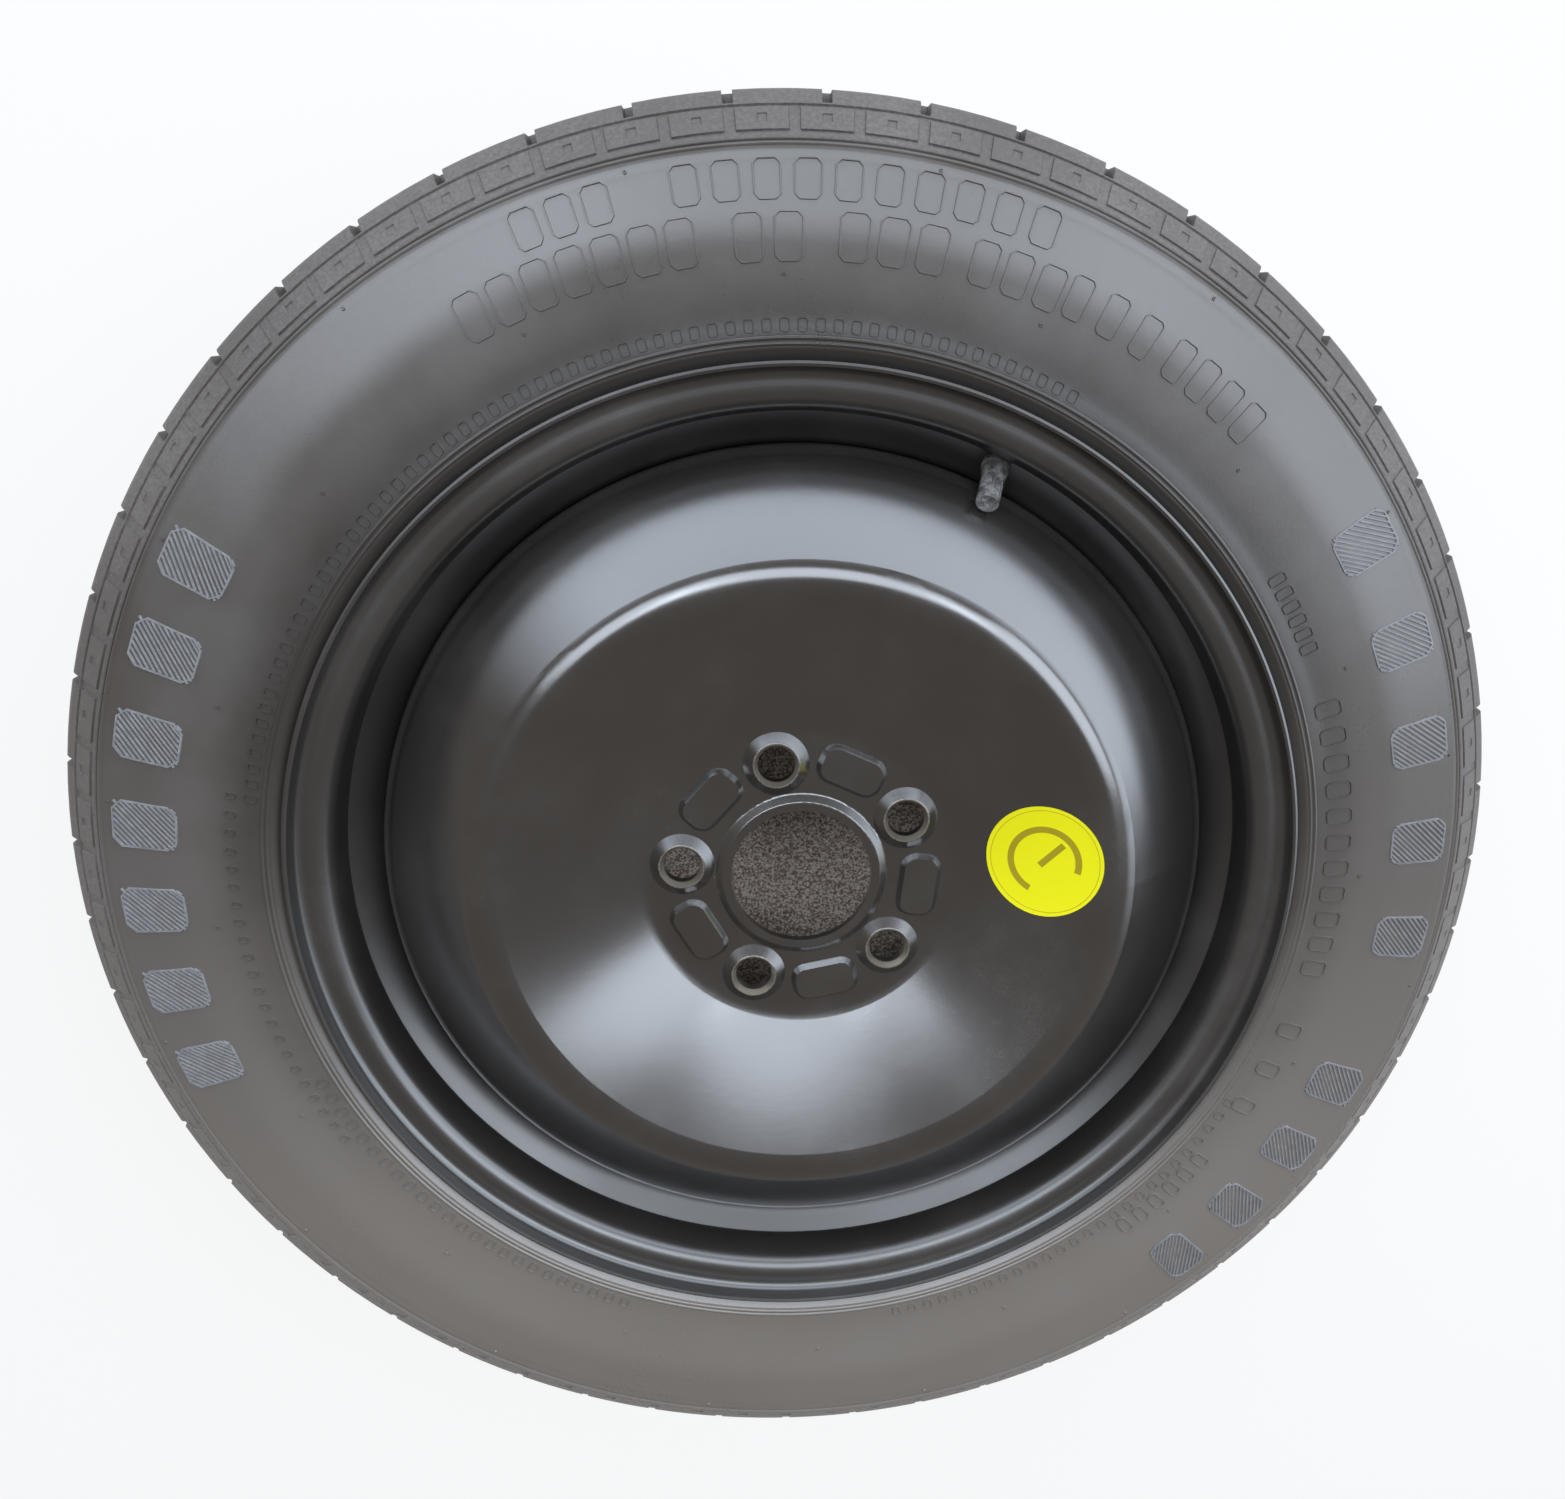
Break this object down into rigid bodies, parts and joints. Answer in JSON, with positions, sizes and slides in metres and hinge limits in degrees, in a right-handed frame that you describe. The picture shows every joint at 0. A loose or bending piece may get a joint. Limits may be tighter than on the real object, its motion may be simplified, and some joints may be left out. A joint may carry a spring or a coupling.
{
  "type": "temporary spare wheel",
  "caption": "Narrow temporary spare wheel for a car: domed black steel disc with raised bolt seats welded into a rolled rim, slim tyre, short valve with a screw cap and a round yellow label.",
  "frame": {"origin": "centre of the hub mounting face, on the wheel axis", "axes": "+Z along the wheel axis towards the outer face, up as the wheel lies; +Y towards the valve side"},
  "size_m": [0.619, 0.619, 0.1277],
  "materials": {
    "tyre": "matte moulded rubber, dusty, with a soft sheen",
    "wheel_paint": "semi-gloss black paint, worn to bare metal at the bolt seats",
    "label_yellow": "bright yellow printed film",
    "valve_rubber": "dusty black moulded rubber",
    "brass": "turned brass",
    "seal_rubber": "soft black sealing rubber",
    "spring_steel": "drawn spring wire",
    "cap_plastic": "dusty black moulded plastic, ribbed"
  },
  "bodies": {
    "wheel": {"tyre": "tyre", "rim": "wheel_paint", "disc": "wheel_paint", "weld_beads": "wheel_paint", "label": "label_yellow", "valve_body": "valve_rubber", "valve_stem": "brass", "core_barrel": "brass", "core_gasket": "seal_rubber", "core_spring": "spring_steel"},
    "cap_slider": {"cap_seal": "seal_rubber"},
    "cap": {"valve_cap": "cap_plastic"},
    "core_pin": {"core_pin": "brass", "core_pin_seal": "seal_rubber"}
  },
  "joints": [
    {"name": "cap_lift", "type": "slide", "parent": "wheel", "child": "cap_slider", "axis": [-0.2868, -0.5879, 0.7564], "range_m": [0, 0.00873]},
    {"name": "cap_turn", "type": "hinge", "parent": "cap_slider", "child": "cap", "pos_m": [0.08257, 0.1693, 0.0056], "axis": [-0.2868, -0.5879, 0.7564], "range_deg": [0, 3960]},
    {"name": "core_pin_press", "type": "slide", "parent": "wheel", "child": "core_pin", "axis": [0.2868, 0.5879, -0.7564], "range_m": [0, 0.0015], "stiffness_N_per_m": 1000, "springref_m": -0.002, "deforming": ["core_spring"]}
  ],
  "couplings": [
    {"joint": "cap_turn", "follows": "cap_lift", "rad_per_m": 7913.3}
  ]
}
